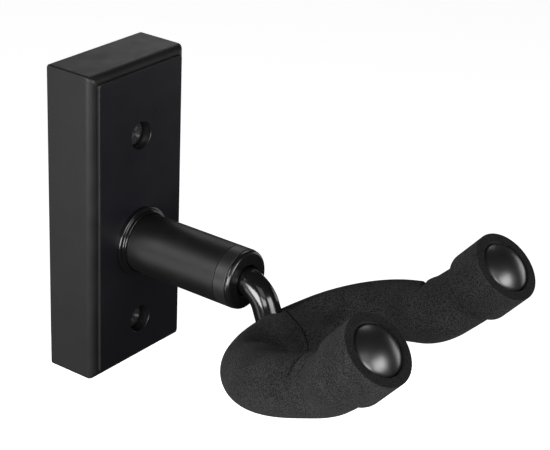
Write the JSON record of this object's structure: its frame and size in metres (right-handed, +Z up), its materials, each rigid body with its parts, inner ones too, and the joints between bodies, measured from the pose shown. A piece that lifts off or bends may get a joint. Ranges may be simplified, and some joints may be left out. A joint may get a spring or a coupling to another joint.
{
  "type": "wall guitar hanger",
  "caption": "Wall hanger for a guitar: black screw-on block, round post, and a foam-covered yoke that swivels and holds the headstock.",
  "frame": {"origin": "middle of the block's back, on the wall plane", "axes": "+X to the right seen from the room, +Y into the wall (the yoke reaches out along -Y), +Z up"},
  "size_m": [0.1134, 0.194, 0.13],
  "materials": {
    "block_paint": "satin",
    "panel": "gloss",
    "black_metal": "satin",
    "gloss_black_metal": "gloss",
    "black_plastic": "gloss",
    "nylon": "satin",
    "zinc_steel": "satin",
    "foam": "matte"
  },
  "bodies": {
    "wall_mount": {"wall_block": "block_paint", "front_panel": "panel", "upper_wall_screw": "gloss_black_metal", "lower_wall_screw": "gloss_black_metal", "base_ring": "gloss_black_metal", "post_tube": "black_metal", "collar_ring": "black_metal", "front_bush": "black_plastic", "inner_bush": "nylon", "post_plug": "zinc_steel", "post_bolt": "zinc_steel", "post_washer": "zinc_steel", "post_lock_washer": "zinc_steel"},
    "yoke": {"swivel_rod": "gloss_black_metal", "thrust_washer": "zinc_steel", "lock_nut": "zinc_steel", "yoke_bar": "gloss_black_metal", "left_arm_foam": "foam", "right_arm_foam": "foam", "left_end_foam": "foam", "right_end_foam": "foam", "left_end_cap": "black_plastic", "right_end_cap": "black_plastic"}
  },
  "joints": [
    {"name": "yoke_swivel", "type": "hinge", "parent": "wall_mount", "child": "yoke", "pos_m": [0, -0.05, -0.011], "axis": [0, 1, 0], "continuous": true}
  ]
}
